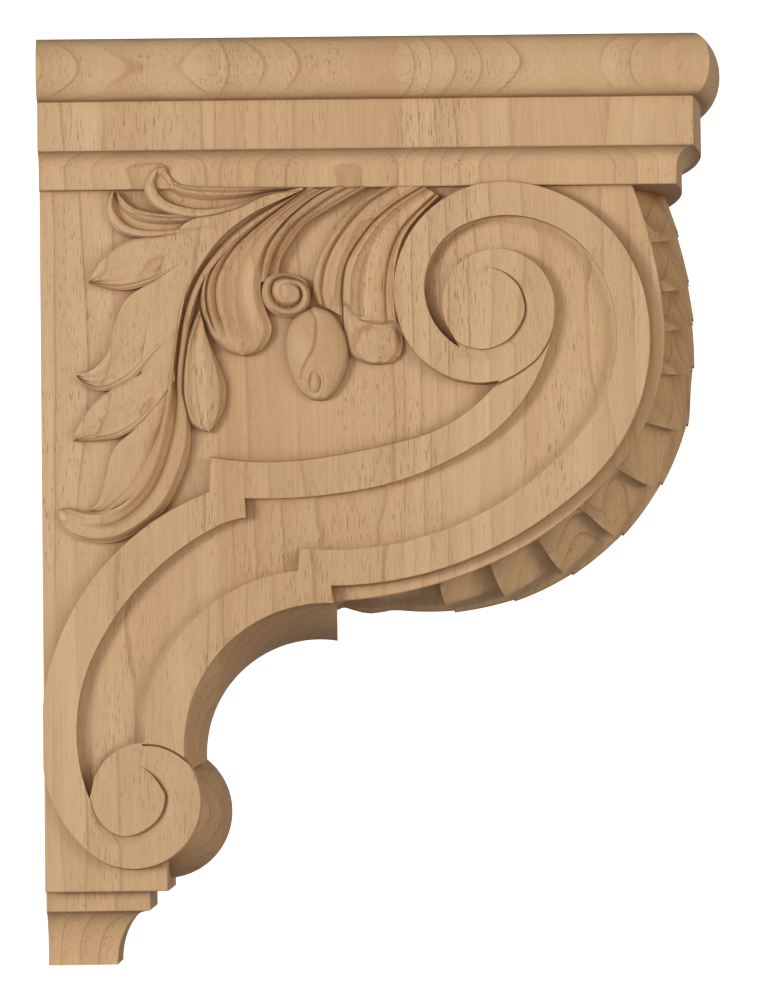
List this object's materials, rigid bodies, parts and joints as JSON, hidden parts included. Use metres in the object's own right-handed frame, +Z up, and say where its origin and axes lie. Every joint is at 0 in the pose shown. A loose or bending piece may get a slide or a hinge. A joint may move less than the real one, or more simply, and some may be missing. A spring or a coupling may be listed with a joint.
{
  "type": "carved wooden corbel bracket",
  "caption": "Carved wooden corbel: a moulded cap over an S-shaped scroll bracket with leaf carving on its sides and front, fixed flat to a wall.",
  "frame": {"origin": "middle of the flat back face that goes against the wall", "axes": "+X out from the wall, +Y along the wall, +Z up"},
  "size_m": [0.26, 0.125, 0.3474],
  "materials": {
    "corbel": "bare sanded hardwood"
  },
  "bodies": {
    "root": {"corbel": "corbel"}
  },
  "joints": []
}
